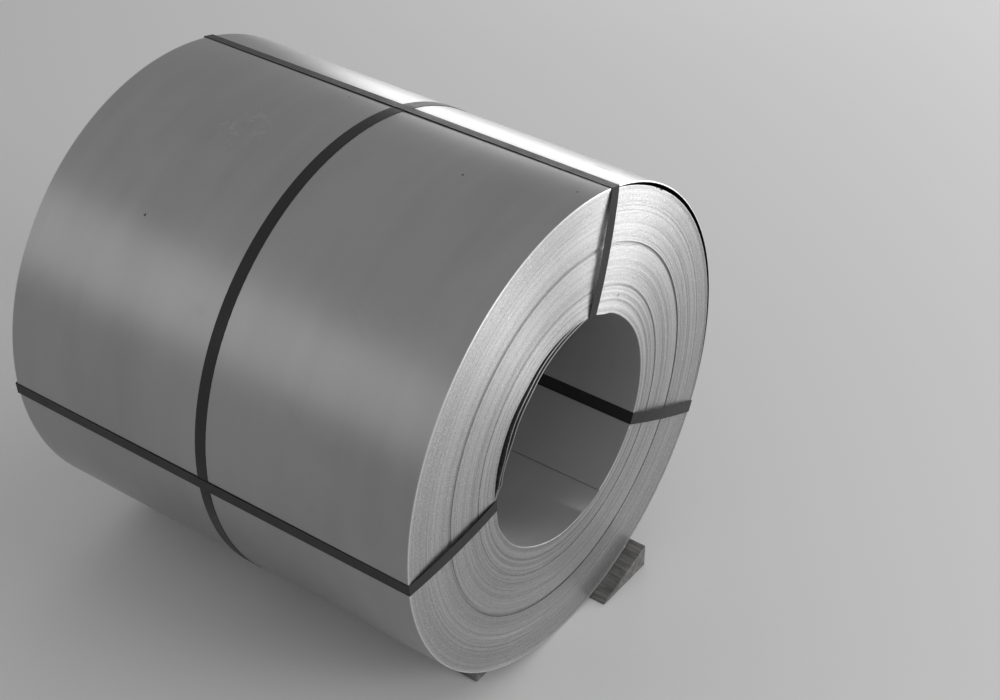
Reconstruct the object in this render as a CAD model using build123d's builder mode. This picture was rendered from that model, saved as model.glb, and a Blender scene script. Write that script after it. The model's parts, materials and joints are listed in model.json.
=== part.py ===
from build123d import *
from math import acos, atan2, cos, degrees, hypot, radians, sin, sqrt, tan
import os

# A wound coil of steel strip, lying on its side on timber chocks, with its axis along Y.
# The origin is on the floor below the middle of the coil, and the near end is at -Y.
# Angles run about the coil's axis, from 0 at +X through 90 at the top.

# The strip and the coil, in millimetres
strip_width = 1250.0
strip_gauge = 3.0
bore_diameter = 610.0
lap_count = 109

# How far runs of laps have slipped towards the far end while winding, by each run's first lap
lap_slips = {0: 0.0, 3: 2.5, 13: 3.5, 24: 4.5, 26: 3.0, 41: 1.5, 57: 5.5, 60: 3.5, 72: 4.5, 84: 2.0, 98: 3.0}

# The strip's two free ends, and the gap under the outer lap where it is loose
tail_angle = -64.0
head_angle = -64.0
ramp_angle = 20.0
loose_lap_gap = 9.0
tail_relief = 0.5

# Steel strapping: one strap round the girth, and three through the bore
strap_width = 32.0
strap_thickness = 0.8
strap_clearance = 0.3
strap_bore_clearance = 0.1
girth_strap_offset = -8.0
top_strap_angle = 76.0
right_strap_angle = -26.0
left_strap_angle = 184.0
strap_bow = 6.0
strap_overlap = 130.0

# Crimped seals
girth_seal_angle = 8.0
seal_length = 57.0
seal_wall = 1.0
seal_slack = 0.3
crimp_width = 6.0
crimp_depth = 3.0
crimp_spacing = 26.0

# Timber chocks
chock_slope = 18.0
chock_depth = 200.0
chock_heel_reach = 307.0
chock_toe_height = 5.0
right_chock_projection = 43.0
left_chock_inset = 60.0
chock_clearance = 0.3
chock_edge = 1.5

bore_radius = bore_diameter / 2
coil_radius = bore_radius + lap_count * strip_gauge
wrap_seat = coil_radius - strip_gauge
near_end = -strip_width / 2
far_end = strip_width / 2
far_crest = far_end + max(lap_slips.values())
girth_seat = coil_radius + strap_clearance
axis_height = girth_seat + strap_thickness

coil_axis = Axis((0, 0, axis_height), (0, 1, 0))
radius_plane = Plane.XY.offset(axis_height)
end_plane = Plane((0, 0, axis_height), x_dir=(1, 0, 0), z_dir=(0, -1, 0))


def around(radius, angle):
    """The point of the end plane at this radius and angle about the axis."""
    return (radius * cos(radians(angle)), radius * sin(radians(angle)))


def radial_plane(angle):
    """The plane through the axis at this angle, with the radius as its x and the axis as its y."""
    across = (-sin(radians(angle)), 0, cos(radians(angle)))
    return Plane((0, 0, axis_height), x_dir=(cos(radians(angle)), 0, sin(radians(angle))), z_dir=across)


def finish(piece, name):
    """Names a piece and writes it to its own file."""
    piece.label = name
    export_step(piece, f"parts/{name}.step")


def end_steps(end):
    """The stepped edges of the laps below the outer one at one end, as points of radius and axial place."""
    starts = [bore_radius + lap * strip_gauge for lap in lap_slips]
    points = []
    for start, stop, slip in zip(starts, starts[1:] + [wrap_seat], lap_slips.values()):
        points += [(start, end + slip), (stop, end + slip)]
    return points


os.makedirs("parts", exist_ok=True)

# The coil: one turned solid of laps as wide as the strip
with BuildPart() as coil:
    with BuildSketch(radius_plane):
        with BuildLine():
            Polyline(*end_steps(near_end), *reversed(end_steps(far_end)), close=True)
        make_face()
    revolve(axis=coil_axis)

    # Between the top and right straps the laps below the outer one have drawn away from it
    loose_middle = (top_strap_angle + right_strap_angle) / 2
    with BuildSketch(end_plane):
        with BuildLine():
            ThreePointArc(
                around(wrap_seat, right_strap_angle),
                around(wrap_seat - loose_lap_gap, loose_middle),
                around(wrap_seat, top_strap_angle),
            )
            ThreePointArc(
                around(wrap_seat, top_strap_angle),
                around(wrap_seat, loose_middle),
                around(wrap_seat, right_strap_angle),
            )
        make_face()
    extrude(amount=strip_width, both=True, mode=Mode.SUBTRACT)

    # The outer lap
    with BuildSketch(end_plane):
        Circle(coil_radius)
        Circle(wrap_seat, mode=Mode.SUBTRACT)
    extrude(amount=strip_width / 2, both=True)

    # The innermost lap starts in a step, and the lap that passes over it settles back to the bore
    settle_end = head_angle - ramp_angle
    settle_middle = head_angle - ramp_angle / 2
    inside = bore_radius - strip_gauge
    with BuildSketch(end_plane):
        with BuildLine():
            Line(around(inside, head_angle), around(bore_radius + strip_gauge, head_angle))
            ThreePointArc(
                around(bore_radius + strip_gauge, head_angle),
                around(bore_radius + strip_gauge / 2, settle_middle),
                around(bore_radius, settle_end),
            )
            Line(around(bore_radius, settle_end), around(inside, settle_end))
            ThreePointArc(around(inside, settle_end), around(inside, settle_middle), around(inside, head_angle))
        make_face()
    extrude(amount=strip_width, both=True, mode=Mode.SUBTRACT)

    # The outer lap ends in a step, and the lap below it rises from there to full size
    rise_end = tail_angle + ramp_angle
    rise_middle = tail_angle + ramp_angle / 2
    beyond = coil_radius + strip_gauge
    with BuildSketch(end_plane):
        with BuildLine():
            Line(around(beyond, tail_angle), around(wrap_seat - tail_relief, tail_angle))
            ThreePointArc(
                around(wrap_seat - tail_relief, tail_angle),
                around(wrap_seat + strip_gauge / 2, rise_middle),
                around(coil_radius, rise_end),
            )
            Line(around(coil_radius, rise_end), around(beyond, rise_end))
            ThreePointArc(around(beyond, rise_end), around(beyond, rise_middle), around(beyond, tail_angle))
        make_face()
    extrude(amount=strip_width, both=True, mode=Mode.SUBTRACT)
finish(coil.part, "coil")

# Two layers of strap, with slack and a wall on both sides, pass through a seal
seal_height = 2 * (strap_thickness + seal_slack + seal_wall)
seal_breadth = strap_width + 2 * (seal_slack + seal_wall)


def crimped_seal(plane):
    """A steel sleeve on this plane: x across the strap, y along it, and the strap's lower face at height 0."""
    with BuildPart() as seal:
        with BuildSketch(plane.offset(-seal_slack - seal_wall)):
            Rectangle(seal_breadth, seal_length)
        extrude(amount=seal_height)
        with BuildSketch(plane.offset(-seal_slack)):
            Rectangle(seal_breadth - 2 * seal_wall, seal_length)
        extrude(amount=seal_height - 2 * seal_wall, mode=Mode.SUBTRACT)
        with BuildSketch(plane.offset(-seal_slack - seal_wall)):
            with GridLocations(seal_breadth, crimp_spacing, 2, 2):
                Rectangle(2 * crimp_depth, crimp_width)
        extrude(amount=seal_height, mode=Mode.SUBTRACT)
    return seal.part


# The girth strap: tight round the outer lap, and straight over its seal, where its ends are lapped
seal_half = seal_length / 2
flat_height = girth_seat + seal_wall + seal_slack
leave_angle = degrees(atan2(seal_half, flat_height) + acos(girth_seat / hypot(flat_height, seal_half)))
girth_plane = Plane(
    (0, girth_strap_offset, axis_height),
    x_dir=tuple(radial_plane(girth_seal_angle).x_dir),
    z_dir=(0, -1, 0),
)


with BuildSketch() as girth_outline:
    with BuildLine():
        ThreePointArc(around(girth_seat, leave_angle), (-girth_seat, 0), around(girth_seat, -leave_angle))
        Polyline(
            around(girth_seat, -leave_angle),
            (flat_height, -seal_half),
            (flat_height, seal_half),
            around(girth_seat, leave_angle),
        )
    make_face()


def lapped_strap(inside, lap_place, lap_size):
    """A band of strap round the inside outline, with its two ends one on the other in the lap's box."""
    with BuildSketch() as section:
        add(offset(inside, amount=2 * strap_thickness, mode=Mode.PRIVATE))
        with Locations(lap_place):
            Rectangle(*lap_size, mode=Mode.INTERSECT)
        add(offset(inside, amount=strap_thickness, mode=Mode.PRIVATE))
        add(inside, mode=Mode.SUBTRACT)
    return section.sketch


with BuildPart() as girth_strap:
    with BuildSketch(girth_plane):
        add(lapped_strap(girth_outline.sketch, (flat_height, 0), (flat_height, strap_overlap)))
    extrude(amount=strap_width / 2, both=True)
finish(girth_strap.part, "girth_strap")

seal_plane = radial_plane(girth_seal_angle)
girth_seal = crimped_seal(
    Plane(
        seal_plane.from_local_coords((flat_height, girth_strap_offset, 0)),
        x_dir=(0, 1, 0),
        z_dir=tuple(seal_plane.x_dir),
    )
)
finish(girth_seal, "girth_seal")

# Straps through the bore: tight along the coil and over the girth strap, and bowed off the two ends
bore_seat = sqrt((bore_radius - strap_bore_clearance) ** 2 - (strap_width / 2) ** 2)
crossing_seat = girth_seat + strap_thickness + strap_clearance
near_seat = near_end - strap_clearance
far_seat = far_crest + strap_clearance
face_middle = (bore_seat + girth_seat) / 2
far_bow = far_seat + strap_bow


with BuildSketch() as eye_outline:
    with BuildLine():
        Polyline(
            (girth_seat, near_seat),
            (crossing_seat, girth_strap_offset - strap_width / 2),
            (crossing_seat, girth_strap_offset + strap_width / 2),
            (girth_seat, far_seat),
        )
        ThreePointArc((girth_seat, far_seat), (face_middle, far_bow), (bore_seat, far_seat))
        Line((bore_seat, far_seat), (bore_seat, near_seat))
        ThreePointArc((bore_seat, near_seat), (face_middle, near_seat - strap_bow), (girth_seat, near_seat))
    make_face()
eye_section = lapped_strap(eye_outline.sketch, (face_middle, far_bow), (strap_overlap, 2 * strap_bow))


strap_places = {"top": top_strap_angle, "right": right_strap_angle, "left": left_strap_angle}
for place, angle in strap_places.items():
    across = radial_plane(angle)
    with BuildPart() as eye_strap:
        with BuildSketch(across):
            add(eye_section)
        extrude(amount=strap_width / 2, both=True)
    finish(eye_strap.part, f"eye_strap_{place}")
    seal_seat = Plane(
        across.from_local_coords((face_middle, far_bow, 0)),
        x_dir=tuple(across.z_dir),
        z_dir=(0, 1, 0),
    )
    finish(crimped_seal(seal_seat), f"eye_seal_{place}")

# Timber chocks: wedges whose slope lies against the coil. The right ones stand out past its ends, and the left
# ones are set in from them.
touch_reach = coil_radius * sin(radians(chock_slope))
touch_height = axis_height - coil_radius * cos(radians(chock_slope))
rise = tan(radians(chock_slope))
drop = chock_clearance / cos(radians(chock_slope))


def slope_height(reach):
    """The height of the chock's slope at this distance beside the coil's axis."""
    return touch_height - drop + (reach - touch_reach) * rise


toe_reach = touch_reach - (touch_height - drop - chock_toe_height) / rise
chock_fronts = {
    "front_right": near_end - right_chock_projection,
    "front_left": near_end + left_chock_inset,
    "back_right": far_end + right_chock_projection - chock_depth,
    "back_left": far_end - left_chock_inset - chock_depth,
}
for place, front in chock_fronts.items():
    with BuildPart() as chock:
        with BuildSketch(Plane.XZ.offset(-front)):
            with BuildLine():
                Polyline(
                    (toe_reach, 0),
                    (chock_heel_reach, 0),
                    (chock_heel_reach, slope_height(chock_heel_reach)),
                    (toe_reach, chock_toe_height),
                    close=True,
                )
            make_face()
            if place.endswith("left"):
                mirror(about=Plane.YZ, mode=Mode.REPLACE)
        extrude(amount=-chock_depth)
        chamfer(chock.edges(), length=chock_edge)
    finish(chock.part, f"chock_{place}")
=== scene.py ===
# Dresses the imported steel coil: its single laps, the materials, soft light and the camera
import json
import math

import bmesh
import bpy
import numpy as np
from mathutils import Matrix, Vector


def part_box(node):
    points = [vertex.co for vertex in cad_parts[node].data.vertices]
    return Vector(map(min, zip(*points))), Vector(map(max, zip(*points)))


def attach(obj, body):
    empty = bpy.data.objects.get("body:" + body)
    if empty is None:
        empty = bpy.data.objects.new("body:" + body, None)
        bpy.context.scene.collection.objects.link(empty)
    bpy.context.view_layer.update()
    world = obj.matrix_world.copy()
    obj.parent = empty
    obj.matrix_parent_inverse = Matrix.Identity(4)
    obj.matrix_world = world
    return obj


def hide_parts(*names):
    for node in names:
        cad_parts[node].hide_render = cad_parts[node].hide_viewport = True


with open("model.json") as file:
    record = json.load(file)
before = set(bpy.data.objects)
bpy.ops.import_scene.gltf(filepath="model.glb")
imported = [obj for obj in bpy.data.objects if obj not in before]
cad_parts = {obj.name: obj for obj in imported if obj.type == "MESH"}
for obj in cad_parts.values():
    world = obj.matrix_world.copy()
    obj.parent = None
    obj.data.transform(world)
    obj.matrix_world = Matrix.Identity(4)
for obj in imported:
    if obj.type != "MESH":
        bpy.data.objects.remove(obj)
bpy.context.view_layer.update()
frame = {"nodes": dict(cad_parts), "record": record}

# Everything is in metres; the coil lies along Y, and angles run round its axis from +X through the top
mmPerMetre = 1000
fullTurn = 360  # degrees
lowCorner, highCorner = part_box("coil")
outerRadius = (highCorner.x - lowCorner.x) / 2
axisHeight = (highCorner.z + lowCorner.z) / 2
nearEnd = lowCorner.y
bore = next(mount for mount in frame["record"]["mounts"] if mount["name"] == "bore")
boreRadius = bore["dims"]["r_mm"] / mmPerMetre
stripWidth = bore["dims"]["length_mm"] / mmPerMetre
middlePlace = nearEnd + stripWidth / 2
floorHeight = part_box("girth_strap")[0].z
print("frame loaded, coil radius", round(outerRadius, 4))


# Small helpers

doubleDistance = 1e-6
shortestEdge = 1e-7


# A mesh object at the origin: the grids of values become point attributes, doubles are merged, the faces
# are turned outwards, and edges that bend by more than the angle are sharp
def makeMesh(name, points, faces, sharpAngle, values):
    mesh = bpy.data.meshes.new(name)
    mesh.from_pydata(points.reshape(-1, 3).tolist(), [], faces)
    for label, grid in values.items():
        layer = mesh.attributes.new(label, "FLOAT", "POINT")
        layer.data.foreach_set("value", grid.ravel())
    edited = bmesh.new()
    edited.from_mesh(mesh)
    bmesh.ops.remove_doubles(edited, verts=edited.verts, dist=doubleDistance)
    bmesh.ops.dissolve_degenerate(edited, edges=edited.edges, dist=shortestEdge)
    bmesh.ops.recalc_face_normals(edited, faces=edited.faces)
    edited.to_mesh(mesh)
    edited.free()
    mesh.shade_smooth()
    mesh.set_sharp_from_angle(angle=math.radians(sharpAngle))
    piece = bpy.data.objects.new(name, mesh)
    bpy.context.scene.collection.objects.link(piece)
    return piece


# 0 below 0, 1 above 1, and 3 t squared less 2 t cubed between
def smoothRamp(t):
    t = np.clip(t, 0, 1)
    return t * t * (3 - 2 * t)


# 1 at t = 0, falling to 0 at t = 1 and -1, as a raised cosine
def hump(t):
    return np.where(np.abs(t) < 1, 0.5 + 0.5 * np.cos(np.pi * np.clip(t, -1, 1)), 0)


# The wound strip

coilShape = {
    "gauge": 0.003,
    "columns": 140,  # round one turn
    "wallRows": 14,  # along the bore, and along the outside
    "seamAngle": -64.0,  # where the strip starts in the bore and ends outside
    "stepAngle": 20.0,  # how far the next lap needs to settle over a free end
    "roundLaps": 20,  # laps near the bore and the outside that keep to a circle
    "bevel": 0.0010,  # the rounded rims of the first and last lap
    "sharpAngle": 35,
    "seed": 11,
}
stepShare = coilShape["stepAngle"] / fullTurn

# How far in from the near end the laps' edges lie, in millimetres: a slow drift by lap, and the few laps
# that slipped in together; their edges also get a painted shade, which shows them as dark rings
lapDrift = {0: 0.3, 8: 2.2, 30: 2.8, 48: 2.0, 60: 2.9, 76: 3.2, 92: 2.2, 104: 1.6, 107: 0.3}
slippedLaps = [
    {"first": 22, "last": 23, "depth": 1.6, "shade": 0.20},
    {"first": 57, "last": 59, "depth": 2.5, "shade": 0.29},
]

# Each lap's own edge. Pairs are the lowest and highest value, and the jitters, the tilt and the tone's
# spread are standard deviations
edgeShape = {
    "jitter": 0.00009,  # along the coil
    "waves": [{"round": 2, "phase": 1, "share": 0.5}, {"round": 7, "phase": 3, "share": 0.35}],
    "wavePhase": 0.06,  # how far the waves shift from lap to lap
    "tilt": 0.00010,
    "grooveWidth": (0.00012, 0.00026),
    "grooveDepth": (0.0010, 0.0026),
    "openShare": 0.22,  # of the laps that stand a little apart
    "openWidth": 0.0006,
    "radiusJitter": 0.00035,
    "toneMiddle": 0.5,
    "toneSpread": 0.13,
    "lean": (0.12, 0.72),  # how far the shading turns outwards at an edge's inner and outer corner
}

# Where the laps have drawn apart: under the outer lap on the right, and on the left, where the first two
# laps have sprung into the bore. A sprung lap's drop grows from the low angle to the widest, keeps a share
# of it at its end, and closes just beyond. The mouth shades are painted shade at a gap's mouth, and the edge
# shade is painted shade on a sprung lap's edge
looseOuter = {"low": -26.0, "widest": 50.0, "high": 77.0, "gap": 0.0105, "depth": 0.14, "mouthPaintedShade": 0.8}
looseInner = [
    {"low": 82.0, "widest": 150.0, "drop": 0.036, "bend": 0.62},
    {"low": 86.0, "widest": 160.0, "drop": 0.025, "bend": 0.80},
]
looseEnd = {
    "high": 176.0,
    "closed": 179.0,
    "share": 0.6,
    "fullDepthGap": 0.006,  # the width from which a gap is as deep as it gets
    "depth": 0.10,
    "mouthPaintedShade": 0.45,
    "edgeShade": 0.34,
}

# Dents in the rim of the bore: the angle, half its reach in degrees, how far in, and over how many laps
# it fades
boreDents = [
    {"angle": 66.0, "reach": 8.0, "depth": 0.0040, "laps": 7},
    {"angle": 128.0, "reach": 16.0, "depth": 0.0045, "laps": 9},
    {"angle": 42.0, "reach": 26.0, "depth": 0.0026, "laps": 7},
    {"angle": 198.0, "reach": 10.0, "depth": -0.0035, "laps": 9},
    {"angle": 240.0, "reach": 30.0, "depth": 0.0055, "laps": 9},
]

# A nick in the edges beside the outer gap: the angle, half its reach, its middle lap, its half width and
# its depth
rimNick = {"angle": 53.9, "reach": 3.5, "lap": 106, "laps": 0.8, "depth": 0.007}


# The share of one gauge that a lap has gained after a share of its turn: evenly in the middle of the
# coil, all in the last bit of the turn at the bore, and all in the first bit at the outside
def gainedGauge(lap, turned, laps):
    atBore = smoothRamp((turned - 1 + stepShare) / stepShare)
    atOutside = smoothRamp(turned / stepShare)
    nearBore = np.clip(1 - lap / coilShape["roundLaps"], 0, 1)
    nearOutside = np.clip(1 - (laps - 1 - lap) / coilShape["roundLaps"], 0, 1)
    return turned + nearBore * (atBore - turned) + nearOutside * (atOutside - turned)


# How far a sprung lap stands in: its drop times a power of the way from the low angle to the widest,
# falling smoothly to its share at the end and to nothing where it closes
def springIn(loose, degrees):
    risen = np.clip((degrees - loose["low"]) / (loose["widest"] - loose["low"]), 0, 1) ** loose["bend"]
    fallen = smoothRamp((degrees - loose["widest"]) / (looseEnd["high"] - loose["widest"]))
    closed = smoothRamp((degrees - looseEnd["high"]) / (looseEnd["closed"] - looseEnd["high"]))
    return loose["drop"] * risen * (1 - (1 - looseEnd["share"]) * fallen) * (1 - closed)


# The share of the outer gap that is open at this angle: 1 less the square of the way from the widest
# place to either end
def outerOpening(degrees):
    fromWidest = degrees - looseOuter["widest"]
    above = looseOuter["high"] - looseOuter["widest"]
    below = looseOuter["widest"] - looseOuter["low"]
    return np.clip(1 - (fromWidest / np.where(fromWidest > 0, above, below)) ** 2, 0, 1)


# The radius of each lap's inner and outer face. Lap k begins at the bore's radius plus k gauges and gains
# one more on its turn. The outer gap draws the laps below it in, by the square of their share of the way
# out, and a dent's depth fades by lap. The last lap keeps its plain radii
def lapRadii(laps, turned, degrees):
    lap = np.arange(laps + 1)[:, None]
    gained = gainedGauge(np.minimum(lap, laps - 1), turned, laps)
    plain = boreRadius + coilShape["gauge"] * (lap + gained)
    wayOut = (plain - boreRadius) / (outerRadius - boreRadius)
    moved = plain - looseOuter["gap"] * outerOpening(degrees) * wayOut ** 2
    for dent in boreDents:
        share = hump((degrees - dent["angle"]) / dent["reach"])
        moved -= dent["depth"] * share * np.exp(-lap / dent["laps"])
    innerFace = moved[:-1].copy()
    outerFace = moved[1:].copy()
    for first, loose in enumerate(looseInner):
        innerFace[first] -= springIn(loose, degrees)[0]
        outerFace[first] -= springIn(loose, degrees)[0]
    innerFace[-1] = plain[laps - 1]
    outerFace[-1] = plain[laps]
    return innerFace, outerFace


# A value for each lap, eased along its turn into the next lap's value
def alongWinding(values, turned):
    ease = smoothRamp(turned)
    return values[:-1, None] * (1 - ease) + values[1:, None] * ease


# How far each lap's edge lies in from the near end: the drift and the slips, a jitter of its own, two
# slow sine waves and a nick
def edgePlaces(laps, turned, degrees, draw):
    lap = np.arange(laps + 1)
    slipped = np.interp(lap, list(lapDrift), list(lapDrift.values())) / mmPerMetre
    for run in slippedLaps:
        slipped[run["first"]:run["last"] + 1] += run["depth"] / mmPerMetre
    size = edgeShape["jitter"]
    place = alongWinding(slipped + draw.normal(0, size, laps + 1), turned)
    phase = alongWinding(np.cumsum(draw.normal(0, edgeShape["wavePhase"], laps + 1)), turned)
    angle = np.radians(degrees)
    waves = 0
    for wave in edgeShape["waves"]:
        waves = waves + wave["share"] * size * np.sin(wave["round"] * angle + wave["phase"] * phase)
    nicked = hump((degrees - rimNick["angle"]) / rimNick["reach"])
    nicked = nicked * np.exp(-((lap[:-1, None] - rimNick["lap"]) / rimNick["laps"]) ** 2)
    return np.maximum(place + waves, 0) + rimNick["depth"] * nicked


# Each lap's groove, tilt, tone and shift outwards, drawn once a lap and eased along its turn. The face in
# the bore and both faces of the outer lap don't shift
def drawEdges(laps, turned, draw):
    width = draw.uniform(*edgeShape["grooveWidth"], laps + 1)
    width = np.where(draw.random(laps + 1) < edgeShape["openShare"], edgeShape["openWidth"], width)
    drawn = {"width": width}
    drawn["depth"] = draw.uniform(*edgeShape["grooveDepth"], laps + 1)
    drawn["tilt"] = draw.normal(0, edgeShape["tilt"], laps + 1)
    drawn["tone"] = draw.normal(edgeShape["toneMiddle"], edgeShape["toneSpread"], laps + 1)
    drawn["shift"] = draw.normal(0, edgeShape["radiusJitter"], laps + 2)
    drawn["shift"][[0, 1, laps - 1, laps, laps + 1]] = 0
    return {label: alongWinding(values, turned) for label, values in drawn.items()}


# How far each lap's corners stand in from its faces: half its groove, but a bevel at the rims of the bore
# and the outside, which fades where the strip's free ends step
def cornerInsets(width, turned):
    inner = width / 2
    outer = width / 2
    inner[0] += smoothRamp((1 - turned[0]) / stepShare) * (coilShape["bevel"] - inner[0])
    outer[-1] += smoothRamp(turned[0] / stepShare) * (coilShape["bevel"] - outer[-1])
    return inner, outer


# How deep the gap outside a lap goes, for the laps that have one: the full depth times the square root of
# how far it is open
def gapDepths(laps, degrees, innerFace, outerFace):
    depths = {laps - 2: looseOuter["depth"] * outerOpening(degrees)[0] ** 0.5}
    for lap in range(len(looseInner)):
        opened = (innerFace[lap + 1] - outerFace[lap]) / looseEnd["fullDepthGap"]
        depths[lap] = looseEnd["depth"] * np.clip(opened, 0, 1) ** 0.5
    return depths


# The painted shade on each lap's edge: the slipped runs by their shade, and the sprung laps by their share
# of the drop
def paintedEdgeShades(laps, degrees):
    shades = np.zeros((laps, coilShape["columns"] + 1))
    for run in slippedLaps:
        shades[run["first"]:run["last"] + 1] = run["shade"]
    for lap, loose in enumerate(looseInner):
        shades[lap] = looseEnd["edgeShade"] * springIn(loose, degrees)[0] / loose["drop"]
    return shades


# The near end's rows from the bore outwards: each lap's inner corner, its outer corner, and beyond it the
# bottom of the groove, or the four corners of a deep gap. Each row carries a painted shade: full at the
# bottoms of grooves and gaps, the mouth shade at a gap's mouth
def nearEndRows(laps, turned, degrees, faces, places, edges):
    innerFace, outerFace = faces
    innerInset, outerInset = cornerInsets(edges["width"], turned)
    gaps = gapDepths(laps, degrees, innerFace, outerFace)
    shades = paintedEdgeShades(laps, degrees)
    # full painted shade, for the bottoms of grooves and gaps
    black = np.ones(coilShape["columns"] + 1)
    innerLean, outerLean = edgeShape["lean"]
    rows = []

    def addRow(radius, place, shade, lean=0.0):
        rows.append({"lap": lap, "radius": radius, "place": place, "shade": shade, "lean": lean})

    for lap in range(laps):
        innerCorner = innerFace[lap] + innerInset[lap] + edges["shift"][lap]
        outerCorner = outerFace[lap] - outerInset[lap] + edges["shift"][lap + 1]
        addRow(innerCorner, places[lap] - edges["tilt"][lap], shades[lap], innerLean)
        addRow(outerCorner, places[lap] + edges["tilt"][lap], shades[lap], outerLean)
        if lap == laps - 1:
            break
        bottom = np.maximum(places[lap], places[lap + 1]) + edges["depth"][lap]
        under = outerFace[lap] + edges["shift"][lap + 1]
        if lap in gaps:
            over = innerFace[lap + 1] + edges["shift"][lap + 1]
            mouthPaintedShade = black * (looseEnd if lap < len(looseInner) else looseOuter)["mouthPaintedShade"]
            addRow(under, bottom, mouthPaintedShade)
            addRow(under, bottom + gaps[lap], black)
            addRow(over, bottom + gaps[lap], black)
            addRow(over, bottom, mouthPaintedShade)
        else:
            addRow(under, bottom, black)
    return {label: np.array([row[label] for row in rows]) for label in rows[0]}


# Joins the rows of the near end, the outside, the far end and the bore into one closed round
def roundTheSection(near, outside, far, inside):
    return np.concatenate([near, outside, far[::-1], inside[::-1]])


# One closed surface. Its rows run from the bore over the near end, back along the outside, over the far
# end and back along the bore; its columns run once round, so that each lap's last column is the next
# lap's first
def windCoil():
    draw = np.random.default_rng(coilShape["seed"])
    laps = round((outerRadius - boreRadius) / coilShape["gauge"]) - 1
    turned = np.linspace(0, 1, coilShape["columns"] + 1)[None, :]
    degrees = coilShape["seamAngle"] + fullTurn * turned
    innerFace, outerFace = lapRadii(laps, turned, degrees)
    places = edgePlaces(laps, turned, degrees, draw)
    edges = drawEdges(laps, turned, draw)
    near = nearEndRows(laps, turned, degrees, (innerFace, outerFace), places, edges)
    # the rows' shades become a painted shade that darkens the edges' colour
    endValues = {
        "lapTone": edges["tone"][near["lap"]],
        "paintedShade": near["shade"],
        "lean": near["lean"][:, None] * np.ones_like(turned),
        "onEnd": np.ones_like(near["radius"]),
    }

    # the strip is equally wide everywhere, so the far end repeats the near one's slips, with its grooves
    # turned round
    farPlace = stripWidth + 2 * places[near["lap"]] - near["place"]
    wallRows = coilShape["wallRows"]
    bevel = coilShape["bevel"]
    wall = bevel + np.linspace(0, 1, wallRows)[:, None] * (stripWidth - 2 * bevel)
    outside = np.repeat(outerFace[-1:], wallRows, 0)
    inside = np.repeat(innerFace[:1], wallRows, 0)
    radius = roundTheSection(near["radius"], outside, near["radius"], inside)
    place = roundTheSection(near["place"], wall + places[-1], farPlace, wall + places[0])
    angle = np.radians(degrees)
    points = np.stack([radius * np.cos(angle), nearEnd + place, axisHeight + radius * np.sin(angle)], -1)
    none = np.zeros_like(outside)
    values = {label: roundTheSection(grid, none, grid, none) for label, grid in endValues.items()}
    return points, values, len(near["radius"]), laps


# Quads between neighbouring rows and columns, and the strip's two cut ends at the seam: a chain of quads
# along the outside and along the bore, and a small face where each meets an end
def coilFaces(points, endRows):
    rows, columns = points.shape[:2]
    index = np.arange(rows * columns).reshape(rows, columns)
    above = np.roll(index, -1, 0)
    quads = np.stack([index[:, :-1], index[:, 1:], above[:, 1:], above[:, :-1]], -1).reshape(-1, 4)
    nearLast = endRows - 1
    farLast = endRows + coilShape["wallRows"]
    farFirst = rows - coilShape["wallRows"] - 1
    outside = list(range(nearLast, farLast + 1))
    inside = list(range(farFirst, rows)) + [0]
    cuts = []
    for chain in (outside, inside):
        for here, there in zip(chain, chain[1:]):
            cuts.append([index[here, 0], index[there, 0], index[there, -1], index[here, -1]])
    cuts.append([index[nearLast, 0], index[nearLast - 2, -1], index[nearLast - 1, -1], index[nearLast, -1]])
    cuts.append([index[farLast, 0], index[farLast + 2, -1], index[farLast + 1, -1], index[farLast, -1]])
    cuts.append([index[0, 0], index[1, 0], index[2, 0], index[0, -1]])
    cuts.append([index[farFirst, 0], index[farFirst - 1, 0], index[farFirst - 2, 0], index[farFirst, -1]])
    return quads.tolist() + cuts


# Which vertex each face corner stands on, and where each face's corners start
def faceCorners(mesh):
    corners = np.zeros(len(mesh.loops), np.int32)
    mesh.loops.foreach_get("vertex_index", corners)
    starts = np.zeros(len(mesh.polygons), np.int32)
    mesh.polygons.foreach_get("loop_start", starts)
    return corners, starts


# The x, y and z of all vertices
def pointPlaces(mesh):
    places = np.zeros(len(mesh.vertices) * 3, np.float32)
    mesh.vertices.foreach_get("co", places)
    return places.reshape(-1, 3).T


# One attribute's value at all vertices
def pointValues(mesh, label):
    values = np.zeros(len(mesh.vertices), np.float32)
    mesh.attributes[label].data.foreach_get("value", values)
    return values


# The laps' edges shade as if they were slightly rounded: at a corner the normal is the coil's axis plus
# the lean times the way outwards. A zero keeps the mesh's own normal
def roundEdges(mesh):
    x, y, z = pointPlaces(mesh)
    lean = pointValues(mesh, "lean") / np.hypot(x, z - axisHeight)
    normals = np.stack([lean * x, np.sign(y - middlePlace), lean * (z - axisHeight)], -1)
    normals /= np.linalg.norm(normals, axis=1, keepdims=True)
    corners, starts = faceCorners(mesh)
    leaning = np.minimum.reduceat(np.abs(lean[corners]), starts) > 0
    sides = np.diff(np.append(starts, len(corners)))
    normals = normals[corners] * np.repeat(leaning, sides)[:, None]
    mesh.normals_split_custom_set(normals.tolist())


coilPoints, coilValues, coilEndRows, coilLaps = windCoil()
coilPiece = makeMesh(
    "wound_strip", coilPoints, coilFaces(coilPoints, coilEndRows), coilShape["sharpAngle"], coilValues
)
roundEdges(coilPiece.data)
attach(coilPiece, "root")
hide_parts("coil")
print("coil wound:", coilLaps, "laps,", len(coilPiece.data.polygons), "faces")


# Materials. A noise is given as its scale, detail, roughness and distortion

usualNoise = (0.3, 0.7)  # nearly all of a noise's values lie between these
noiseMiddle = 0.5


# A grey, or where it is warm one with that share more red and less blue
def grey(value, warm=0.0):
    return (value * (1 + warm), value, value * (1 - warm), 1)


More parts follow.
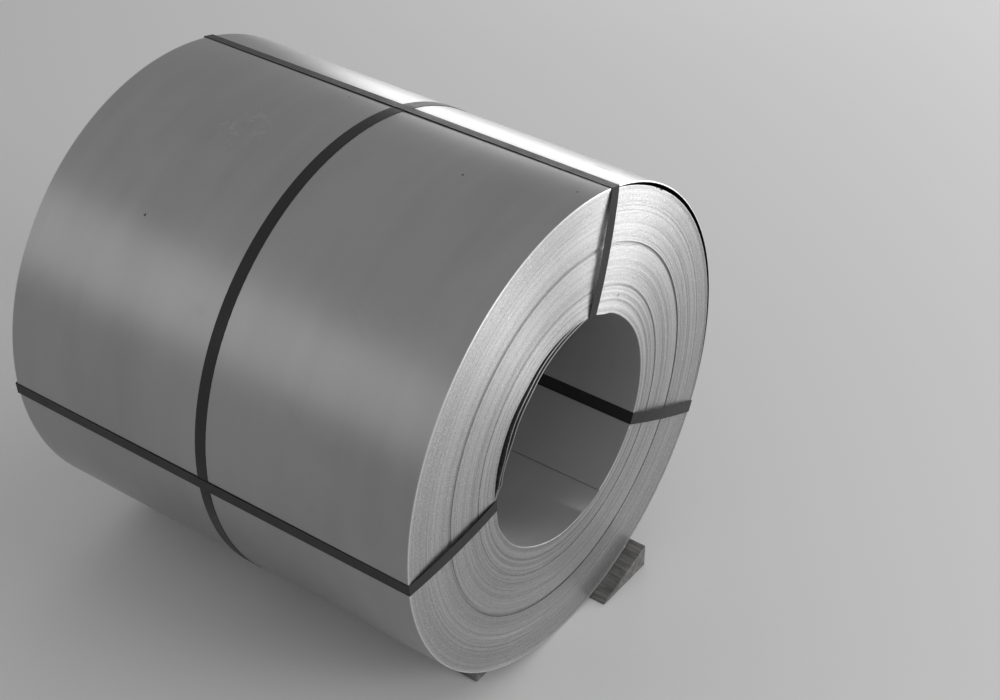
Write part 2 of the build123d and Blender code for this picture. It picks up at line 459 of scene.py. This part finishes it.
# Short ways to add and wire nodes in one material
class Nodes:
    def __init__(self, name):
        self.material = bpy.data.materials.new(name)
        self.material.use_nodes = True
        self.tree = self.material.node_tree
        self.tree.nodes.clear()
        self.objectPlace = self.add("ShaderNodeTexCoord").outputs["Object"]

    def add(self, kind, **settings):
        node = self.tree.nodes.new(kind)
        for key, value in settings.items():
            setattr(node, key, value)
        return node

    # Wires a socket to another node's, or sets its value
    def feed(self, socket, value):
        if isinstance(value, bpy.types.NodeSocket):
            self.tree.links.new(value, socket)
        else:
            socket.default_value = value

    def maths(self, operation, first, second=0.0):
        node = self.add("ShaderNodeMath", operation=operation)
        self.feed(node.inputs[0], first)
        self.feed(node.inputs[1], second)
        return node.outputs[0]

    def sum(self, first, *others):
        for other in others:
            first = self.maths("ADD", first, other)
        return first

    def times(self, first, *others):
        for other in others:
            first = self.maths("MULTIPLY", first, other)
        return first

    def less(self, first, second):
        return self.maths("SUBTRACT", first, second)

    def split(self, vector):
        node = self.add("ShaderNodeSeparateXYZ")
        self.feed(node.inputs[0], vector)
        return node.outputs

    def join(self, x, y, z):
        node = self.add("ShaderNodeCombineXYZ")
        for socket, value in zip(node.inputs, (x, y, z)):
            self.feed(socket, value)
        return node.outputs[0]

    # The vector with each of its parts multiplied
    def stretch(self, vector, factors):
        node = self.add("ShaderNodeVectorMath", operation="MULTIPLY")
        self.feed(node.inputs[0], vector)
        self.feed(node.inputs[1], factors)
        return node.outputs[0]

    def length(self, vector):
        node = self.add("ShaderNodeVectorMath", operation="LENGTH")
        self.feed(node.inputs[0], vector)
        return node.outputs["Value"]

    def noise(self, vector, scale, detail=3.0, roughness=0.5, distortion=0.0):
        node = self.add("ShaderNodeTexNoise")
        self.feed(node.inputs["Vector"], vector)
        self.feed(node.inputs["Scale"], scale)
        self.feed(node.inputs["Detail"], detail)
        self.feed(node.inputs["Roughness"], roughness)
        self.feed(node.inputs["Distortion"], distortion)
        return node.outputs["Fac"]

    def attribute(self, name):
        return self.add("ShaderNodeAttribute", attribute_name=name).outputs["Fac"]

    # Goes smoothly from outLow to outHigh as the value goes from low to high
    def spread(self, value, low, high, outLow=0.0, outHigh=1.0):
        node = self.add("ShaderNodeMapRange", interpolation_type="SMOOTHSTEP")
        for socket, number in zip(node.inputs, (value, low, high, outLow, outHigh)):
            self.feed(socket, number)
        return node.outputs[0]

    # Goes smoothly from low to high over a noise's usual values
    def vary(self, noise, low, high):
        return self.spread(noise, *usualNoise, low, high)

    def blend(self, share, first, second):
        node = self.add("ShaderNodeMix", data_type="RGBA")
        self.feed(node.inputs[0], share)
        self.feed(node.inputs[6], first)
        self.feed(node.inputs[7], second)
        return node.outputs[2]

    # From a look's dark grey to its light one as the tone goes through its range
    def darkToLight(self, tone, look):
        warm = look.get("warm", 0.0)
        share = self.spread(tone, *look["toneRange"])
        return self.blend(share, grey(look["dark"], warm), grey(look["light"], warm))

    # The colour, turning to a patch's grey by the patch's share as the value goes through its range
    def patch(self, colour, value, look):
        share = self.spread(value, *look["range"], 0.0, look["share"])
        return self.blend(share, colour, grey(look["grey"], look.get("warm", 0.0)))

    def bump(self, height, distance, normal=None):
        node = self.add("ShaderNodeBump")
        self.feed(node.inputs["Height"], height)
        self.feed(node.inputs["Distance"], distance)
        if normal is not None:
            self.feed(node.inputs["Normal"], normal)
        return node.outputs[0]

    # The finished material; in a socket's name an underscore stands for a space
    def finish(self, **sockets):
        shader = self.add("ShaderNodeBsdfPrincipled")
        for name, value in sockets.items():
            self.feed(shader.inputs[name.replace("_", " ")], value)
        output = self.add("ShaderNodeOutputMaterial")
        self.tree.links.new(shader.outputs[0], output.inputs[0])
        return self.material

    # The radius from the coil's axis, the angle round it and the place along it
    def coilPlace(self):
        x, y, z = self.split(self.objectPlace)
        up = self.less(z, axisHeight)
        squares = self.sum(self.times(x, x), self.times(up, up))
        return self.maths("SQRT", squares), self.maths("ARCTAN2", up, x), y

    # The direction round the axis: the cosine and the sine of the angle, each times the factor
    def wayRound(self, turn, factor):
        return self.times(self.maths("COSINE", turn), factor), self.times(self.maths("SINE", turn), factor)


def inRadians(degrees):
    return [math.radians(angle) for angle in degrees]


# Noise drawn out round the coil: it reads the direction round the axis and the place along it
def rolledNoise(n, turn, along, look):
    across, upwards = n.wayRound(turn, look["round"])
    return n.noise(n.join(across, n.times(along, look["along"]), upwards), *look["noise"])


# Noise drawn out along the laps' edges: it reads the direction round the axis and the radius
def edgeNoise(n, turn, radius, look):
    across, upwards = n.wayRound(turn, look["round"])
    return n.noise(n.join(upwards, across, n.times(radius, look["outwards"])), *look["noise"])


# 1 inside an oval mark and 0 beyond it, by the distance from its middle in half sizes: the angle from it
# times the radius one way, and the way from its place the other
def ovalMark(n, mark, turn, radius, fromPlace, fade, unevenness=0.0):
    across = n.times(n.less(turn, math.radians(mark["angle"])), radius)
    halfAround, halfOther = mark["size"]
    distance = n.length(n.stretch(n.join(across, fromPlace, 0.0), (1 / halfAround, 1 / halfOther, 0)))
    return n.spread(n.sum(distance, unevenness), *fade)


# Cold-rolled strip

wallLook = {
    "dark": 0.36,
    "light": 0.42,
    "toneRange": (0.35, 0.65),
    "bands": {"round": 0.5, "along": 9.0, "noise": (2.0, 4.0, 0.55), "weight": 0.2},
    "clouds": {"noise": (1.9, 3.0, 0.5, 0.5), "weight": 0.65},
    "lines": {"round": 2.0, "along": 520.0, "noise": (2.0, 3.0, 0.6), "weight": 0.15},
    "haze": {"noise": (6.5, 5.0, 0.6, 1.0), "range": (0.58, 0.78), "share": 0.30, "grey": 0.33},
    "roughness": (0.28, 0.33),
    "lineRoughness": 0.01,
    "lineDistance": 0.000003,
    "waves": {"noise": (1.3, 1.0), "distance": 0.002},
    # a painted highlight along the outside's rims
    "rim": {"width": 0.004, "share": 0.7, "grey": 0.72},
    "margin": 0.02,  # how near to the bore or the outside a radius counts wholly as one or the other
    "boreRoughness": 0.18,
    "boreMetallic": 0.45,
}

# Marks on the outside: angle, place along the coil, half the size round the coil and along it, and grey
wallMarks = [
    {"angle": 131.2, "along": 0.318, "size": (0.0045, 0.0035), "grey": 0.06},
    {"angle": 93.1, "along": -0.332, "size": (0.0035, 0.0030), "grey": 0.07},
    {"angle": 80.6, "along": 0.119, "size": (0.0035, 0.0035), "grey": 0.12},
    {"angle": 84.4, "along": -0.581, "size": (0.0040, 0.0030), "grey": 0.16},
    {"angle": 66.5, "along": -0.525, "size": (0.012, 0.030), "grey": 0.27},
    {"angle": 63.0, "along": -0.575, "size": (0.009, 0.022), "grey": 0.30},
]
markEdge = {"noise": (140.0, 3.0, 0.6), "unevenness": 1.4, "fade": (1.0, 0.55)}

# A faint stain of many small flecks
stain = {
    "angle": 104.0,
    "along": 0.235,
    "size": (0.110, 0.085),
    "noise": (42.0, 4.0, 0.65, 1.0),
    "range": (0.50, 0.66),
    "share": 0.42,
    "grey": 0.52,
}


# Satin steel with a soft haze, faint lines in the rolling direction and a few marks. The outside's rims get
# a painted highlight, and the bore is duller
def wallSteel():
    n = Nodes("satin_strip")
    radius, turn, along = n.coilPlace()
    outside = n.spread(radius, boreRadius + wallLook["margin"], outerRadius - wallLook["margin"])
    bands = rolledNoise(n, turn, along, wallLook["bands"])
    clouds = n.noise(n.objectPlace, *wallLook["clouds"]["noise"])
    lines = rolledNoise(n, turn, along, wallLook["lines"])
    tone = n.sum(
        n.times(bands, wallLook["bands"]["weight"]),
        n.times(clouds, wallLook["clouds"]["weight"]),
        n.times(lines, wallLook["lines"]["weight"]),
    )
    haze = n.noise(n.objectPlace, *wallLook["haze"]["noise"])
    colour = n.patch(n.darkToLight(tone, wallLook), haze, wallLook["haze"])

    ragged = n.less(n.noise(n.objectPlace, *markEdge["noise"]), noiseMiddle)
    ragged = n.times(ragged, markEdge["unevenness"])

    def onOutside(mark):
        return ovalMark(n, mark, turn, outerRadius, n.less(along, mark["along"]), markEdge["fade"], ragged)

    for mark in wallMarks:
        colour = n.blend(n.times(onOutside(mark), outside), colour, grey(mark["grey"]))
    flecks = n.spread(n.noise(n.objectPlace, *stain["noise"]), *stain["range"], 0.0, stain["share"])
    colour = n.blend(n.times(flecks, outside, onOutside(stain)), colour, grey(stain["grey"]))
    fromMiddle = n.maths("ABSOLUTE", n.less(along, middlePlace))
    # painted highlight along the outside's rims
    rimHighlightLook = wallLook["rim"]
    rim = n.spread(fromMiddle, stripWidth / 2 - rimHighlightLook["width"], stripWidth / 2, 0.0, rimHighlightLook["share"])
    colour = n.blend(n.times(rim, outside), colour, grey(rimHighlightLook["grey"]))

    roughness = n.sum(
        n.vary(clouds, *wallLook["roughness"]),
        n.vary(lines, -wallLook["lineRoughness"], wallLook["lineRoughness"]),
        n.times(n.less(1.0, outside), wallLook["boreRoughness"]),
    )
    metallic = n.spread(outside, 0.0, 1.0, wallLook["boreMetallic"], 1.0)
    waves = n.bump(n.noise(n.objectPlace, *wallLook["waves"]["noise"]), wallLook["waves"]["distance"])
    normal = n.bump(lines, wallLook["lineDistance"], waves)
    return n.finish(Base_Color=colour, Metallic=metallic, Roughness=roughness, Normal=normal)


# Slit edges

edgeLook = {
    "dark": 0.25,
    "light": 0.56,
    "toneRange": (0.20, 0.60),
    "lapWeight": 0.45,
    "threads": {"round": 9.0, "outwards": 300.0, "noise": (2.2, 4.0, 0.65), "weight": 0.15},
    "threadDistance": 0.00003,
    "grains": {"round": 95.0, "outwards": 260.0, "noise": (1.6, 3.0, 0.7), "weight": 0.40},
    "grainDistance": 0.00002,
    # torn grains, painted lighter as glints
    "torn": {"range": (0.52, 0.72), "share": 0.85, "grey": 0.85},
    # a painted highlight on the outer lap's edge
    "outerLapHighlight": {"depth": (0.0036, 0.0026), "share": 0.85, "grey": 0.85},
    # painted shade in the grooves, gaps and slipped laps, by the painted shade attribute
    "groove": {"range": (0.1, 0.9), "share": 1.0, "grey": 0.015},
    "roughness": (0.43, 0.51),
}

# Marks on both ends: angle, radius, half the size round the coil and outwards, and grey
endMarks = [
    # two bright specks near the rim of the bore: painted glints
    {"angle": -30.7, "radius": 0.311, "size": (0.004, 0.003), "grey": 0.95},
    {"angle": -24.3, "radius": 0.316, "size": (0.003, 0.003), "grey": 0.95},
    {"angle": 57.4, "radius": 0.348, "size": (0.003, 0.006), "grey": 0.22},
    # two dark marks in the nick beside the outer gap: painted shade
    {"angle": 53.9, "radius": 0.6175, "size": (0.009, 0.003), "grey": 0.05},
    {"angle": 57.0, "radius": 0.6195, "size": (0.006, 0.003), "grey": 0.05},
]
endMarkFade = (1.0, 0.6)

# Painted glints: bright broken specks along the rim of the bore, on its strongest grains; they rise and fall
# between these angles
paintedRimGlint = {
    "rise": (-63.0, -58.0),
    "fall": (-42.0, -38.0),
    "grains": (0.50, 0.58),
    "width": 0.007,
    "grey": 0.95,
}


# The strip's edges, lap by lap: each has its own tone, threads run along it, and torn grains are painted
# lighter as glints. A painted highlight lines the outer lap, painted glints the rim of the bore, and painted
# shade darkens the grooves and gaps
def edgeSteel():
    n = Nodes("slit_edges")
    radius, turn, along = n.coilPlace()
    threads = edgeNoise(n, turn, radius, edgeLook["threads"])
    grains = edgeNoise(n, turn, radius, edgeLook["grains"])
    tone = n.sum(
        n.times(n.attribute("lapTone"), edgeLook["lapWeight"]),
        n.times(threads, edgeLook["threads"]["weight"]),
        n.times(grains, edgeLook["grains"]["weight"]),
    )
    colour = n.patch(n.darkToLight(tone, edgeLook), grains, edgeLook["torn"])
    for mark in endMarks:
        share = ovalMark(n, mark, turn, mark["radius"], n.less(radius, mark["radius"]), endMarkFade)
        colour = n.blend(share, colour, grey(mark["grey"]))
    paintedGlints = n.times(
        n.spread(turn, *inRadians(paintedRimGlint["rise"])),
        n.spread(grains, *paintedRimGlint["grains"]),
        n.spread(turn, *inRadians(paintedRimGlint["fall"]), 1.0, 0.0),
        n.spread(radius, boreRadius + paintedRimGlint["width"], boreRadius + paintedRimGlint["width"] / 2),
    )
    colour = n.blend(paintedGlints, colour, grey(paintedRimGlint["grey"]))
    # painted highlight on the outer lap's edge
    outerHighlightLook = edgeLook["outerLapHighlight"]
    outerReach = [outerRadius - depth for depth in outerHighlightLook["depth"]]
    onOuterLap = n.spread(radius, *outerReach, 0.0, outerHighlightLook["share"])
    colour = n.blend(onOuterLap, colour, grey(outerHighlightLook["grey"]))
    # painted shade in the grooves, gaps and slipped laps
    colour = n.patch(colour, n.attribute("paintedShade"), edgeLook["groove"])
    normal = n.bump(threads, edgeLook["threadDistance"], n.bump(grains, edgeLook["grainDistance"]))
    roughness = n.vary(threads, *edgeLook["roughness"])
    return n.finish(Base_Color=colour, Metallic=1.0, Roughness=roughness, Normal=normal)


# The strip's two cut ends

cutLook = {
    "dark": 0.22,
    "light": 0.36,
    "stretch": (60.0, 420.0, 60.0),
    "noise": (1.0, 4.0, 0.6),
    "toneRange": (0.35, 0.65),
    "roughness": (0.68, 0.80),
    "metallic": 0.2,
    "distance": 0.0001,
    "reach": 0.05,  # how far a cut face's corners may be from the seam, in degrees
}


# Sheared and dull, with torn lines across the gauge
def cutSteel():
    n = Nodes("sheared_end")
    tears = n.noise(n.stretch(n.objectPlace, cutLook["stretch"]), *cutLook["noise"])
    return n.finish(
        Base_Color=n.darkToLight(tears, cutLook),
        Metallic=cutLook["metallic"],
        Roughness=n.vary(tears, *cutLook["roughness"]),
        Normal=n.bump(tears, cutLook["distance"]),
    )


# Straps, seals and chocks

strapLook = {
    "grey": 0.014,
    "scuffs": {"noise": (70.0, 5.0, 0.7), "range": (0.60, 0.78), "share": 0.6, "grey": 0.065},
    "haze": (7.0, 3.0, 0.5),
    "roughness": (0.37, 0.47),
    "scuffRoughness": (-0.03, 0.06),
    "specular": 0.4,
    "distance": 0.0001,
}


# Waxed black steel strap, rubbed thin in places
def blackStrap():
    n = Nodes("black_strap")
    scuffs = n.noise(n.objectPlace, *strapLook["scuffs"]["noise"])
    haze = n.noise(n.objectPlace, *strapLook["haze"])
    return n.finish(
        Base_Color=n.patch(grey(strapLook["grey"]), scuffs, strapLook["scuffs"]),
        Metallic=0.0,
        Roughness=n.sum(n.vary(haze, *strapLook["roughness"]), n.vary(scuffs, *strapLook["scuffRoughness"])),
        Specular_IOR_Level=strapLook["specular"],
        Normal=n.bump(scuffs, strapLook["distance"]),
    )


sealLook = {
    "dark": 0.16,
    "light": 0.32,
    "noise": (90.0, 4.0, 0.6),
    "toneRange": (0.35, 0.7),
    "roughness": (0.36, 0.52),
    "distance": 0.0003,
}


# Dull dark seals
def sealSteel():
    n = Nodes("seal_zinc")
    marks = n.noise(n.objectPlace, *sealLook["noise"])
    return n.finish(
        Base_Color=n.darkToLight(marks, sealLook),
        Metallic=1.0,
        Roughness=n.vary(marks, *sealLook["roughness"]),
        Normal=n.bump(marks, sealLook["distance"]),
    )


timberLook = {
    "dark": 0.09,
    "light": 0.21,
    "warm": 0.02,
    "grain": {"stretch": (26.0, 2.0, 26.0), "noise": (3.0, 6.0, 0.65, 0.9), "distance": 0.0010},
    "toneRange": (0.35, 0.65),
    "fibres": {"stretch": (260.0, 9.0, 260.0), "noise": (3.0, 4.0, 0.6), "distance": 0.0004},
    "dirt": {"noise": (22.0, 5.0, 0.65), "range": (0.45, 0.75), "share": 0.6, "grey": 0.045, "warm": 0.02},
    "roughness": (0.68, 0.86),
}


# Weathered grey softwood, with its grain along Y
def timber():
    n = Nodes("weathered_timber")
    rings = timberLook["grain"]
    fine = timberLook["fibres"]
    grain = n.noise(n.stretch(n.objectPlace, rings["stretch"]), *rings["noise"])
    fibres = n.noise(n.stretch(n.objectPlace, fine["stretch"]), *fine["noise"])
    dirt = n.noise(n.objectPlace, *timberLook["dirt"]["noise"])
    return n.finish(
        Base_Color=n.patch(n.darkToLight(grain, timberLook), dirt, timberLook["dirt"]),
        Metallic=0.0,
        Roughness=n.vary(fibres, *timberLook["roughness"]),
        Normal=n.bump(grain, rings["distance"], n.bump(fibres, fine["distance"])),
    )


# Gives a piece these materials alone
def paint(piece, *materials):
    piece.data.materials.clear()
    for material in materials:
        piece.data.materials.append(material)


# The second material goes to the faces whose corners all lie on an end, and the third to those on the
# strip's cuts
def paintCoil(mesh):
    corners, starts = faceCorners(mesh)
    x, y, z = pointPlaces(mesh)
    fromSeam = np.abs(np.degrees(np.arctan2(z - axisHeight, x)) - coilShape["seamAngle"])
    onEnd = np.minimum.reduceat(pointValues(mesh, "onEnd")[corners], starts) > 0.5
    onCut = np.maximum.reduceat(fromSeam[corners], starts) < cutLook["reach"]
    mesh.polygons.foreach_set("material_index", np.where(onCut, 2, onEnd).astype(np.int32))


strapMaterial = blackStrap()
sealMaterial = sealSteel()
timberMaterial = timber()
paint(coilPiece, wallSteel(), edgeSteel(), cutSteel())
paintCoil(coilPiece.data)
for name, node in frame["nodes"].items():
    if "strap" in name:
        paint(node, strapMaterial)
    elif "seal" in name:
        paint(node, sealMaterial)
    elif "chock" in name:
        paint(node, timberMaterial)
print("materials done")


# The floor, the lights and the camera

stageLook = {
    "floorSize": 60.0,
    "floorGrey": 0.74,
    "floorRoughness": 0.85,
    "floorDrop": 0.0005,
    "worldGrey": 0.42,
}

# Soft lamps: place, width and height in metres, and power
lampLook = {
    "key_light": {"place": (6.6, -3.2, 1.5), "size": (4.0, 3.2), "power": 215},
    "edge_light": {"place": (5.6, 2.6, 1.1), "size": (2.4, 1.6), "power": 35},
    "side_light": {"place": (-6.5, 5.5, 4.2), "size": (5.5, 4.5), "power": 27},
    "front_light": {"place": (0.6, -6.5, 2.9), "size": (2.6, 2.0), "power": 120},
}


# A pale floor, just below the lowest point
def layFloor():
    mesh = bpy.data.meshes.new("floor")
    half = stageLook["floorSize"] / 2
    level = floorHeight - stageLook["floorDrop"]
    corners = [(-half, -half, level), (half, -half, level), (half, half, level), (-half, half, level)]
    mesh.from_pydata(corners, [], [(0, 1, 2, 3)])
    floor = bpy.data.objects.new("floor", mesh)
    bpy.context.scene.collection.objects.link(floor)
    n = Nodes("pale_floor")
    paint(floor, n.finish(Base_Color=grey(stageLook["floorGrey"]), Roughness=stageLook["floorRoughness"]))


# A rectangular area lamp, turned to the target: tipped by the angle at which its aim rises, and turned to
# its heading
def softLamp(name, look, target):
    data = bpy.data.lights.new(name, "AREA")
    data.shape = "RECTANGLE"
    data.size, data.size_y = look["size"]
    data.energy = look["power"]
    lamp = bpy.data.objects.new(name, data)
    bpy.context.scene.collection.objects.link(lamp)
    lamp.location = look["place"]
    lamp.visible_camera = False
    aim = np.array(target) - np.array(look["place"])
    rise = math.atan2(aim[2], math.hypot(aim[0], aim[1]))
    heading = math.atan2(aim[1], aim[0])
    lamp.rotation_euler = (math.pi / 2 + rise, 0, heading - math.pi / 2)


layFloor()
middle = (0, 0, axisHeight)
for name, look in lampLook.items():
    softLamp(name, look, middle)
world = bpy.data.worlds.new("studio")
bpy.context.scene.world = world
world.use_nodes = True
world.node_tree.nodes["Background"].inputs["Color"].default_value = grey(stageLook["worldGrey"])

cameraFit = {
    "focalLength": 70.63,  # millimetres, on a sensor 36 wide
    "sensorWidth": 36,
    "place": (-4.86687, -4.21884, 4.66442),  # from the coil's middle, in outer radii
    "heading": -53.76,
    "lookDown": 36.25,
}
cameraData = bpy.data.cameras.new("camera")
cameraData.lens = cameraFit["focalLength"]
cameraData.sensor_width = cameraFit["sensorWidth"]
camera = bpy.data.objects.new("camera", cameraData)
bpy.context.scene.collection.objects.link(camera)
camera.location = np.array(middle) + outerRadius * np.array(cameraFit["place"])
camera.rotation_euler = (math.radians(90 - cameraFit["lookDown"]), 0, math.radians(cameraFit["heading"]))
bpy.context.scene.camera = camera
bpy.context.scene.view_settings.view_transform = "Standard"
print("stage and camera done")
